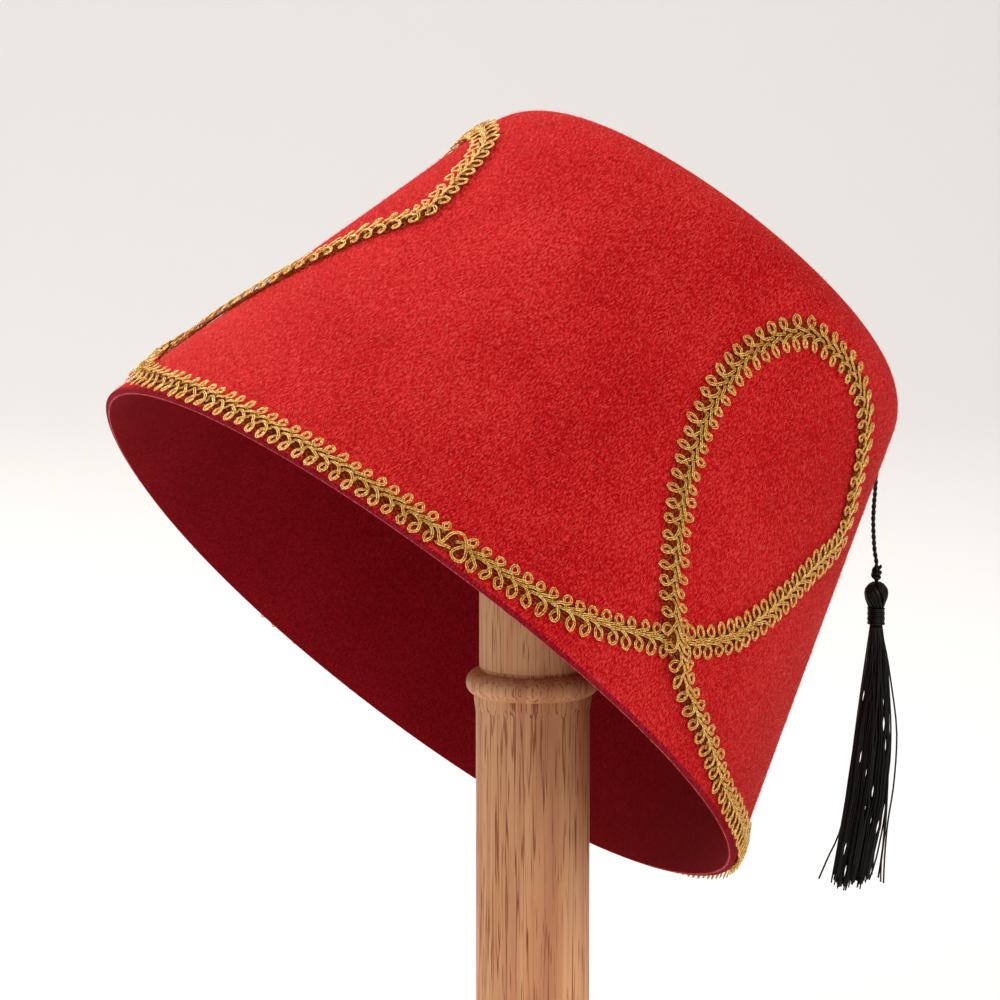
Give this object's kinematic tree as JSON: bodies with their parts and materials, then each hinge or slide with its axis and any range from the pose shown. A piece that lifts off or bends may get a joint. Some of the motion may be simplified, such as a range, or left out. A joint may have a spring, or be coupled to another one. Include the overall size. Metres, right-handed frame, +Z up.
{
  "type": "fez hat on hat stand",
  "caption": "Tapered red felt fez with looped gold gimp braid and a black tassel on a cord, hung tilted over the domed post of a plain turned wooden hat stand.",
  "frame": {"origin": "centre of the stand's foot, on the surface it stands on and on the post's axis", "axes": "+Z up along the post, +X towards the side that the hat leans to, +Y away from the front of the hat"},
  "size_m": [0.1906, 0.2007, 0.305],
  "materials": {
    "red_felt": "pressed wool felt with a short fuzzy nap",
    "gold_gimp": "curled gold viscose cord, silky",
    "black_thread": "glossy rayon thread",
    "turned_wood": "plain turned hardwood, matt"
  },
  "bodies": {
    "root": {"felt_crown": "red_felt", "gold_braid": "gold_gimp", "cord_button": "black_thread", "tassel_cord": "black_thread", "tassel_knot": "black_thread", "tassel": "black_thread", "stand_post": "turned_wood", "stand_base": "turned_wood"}
  },
  "joints": []
}
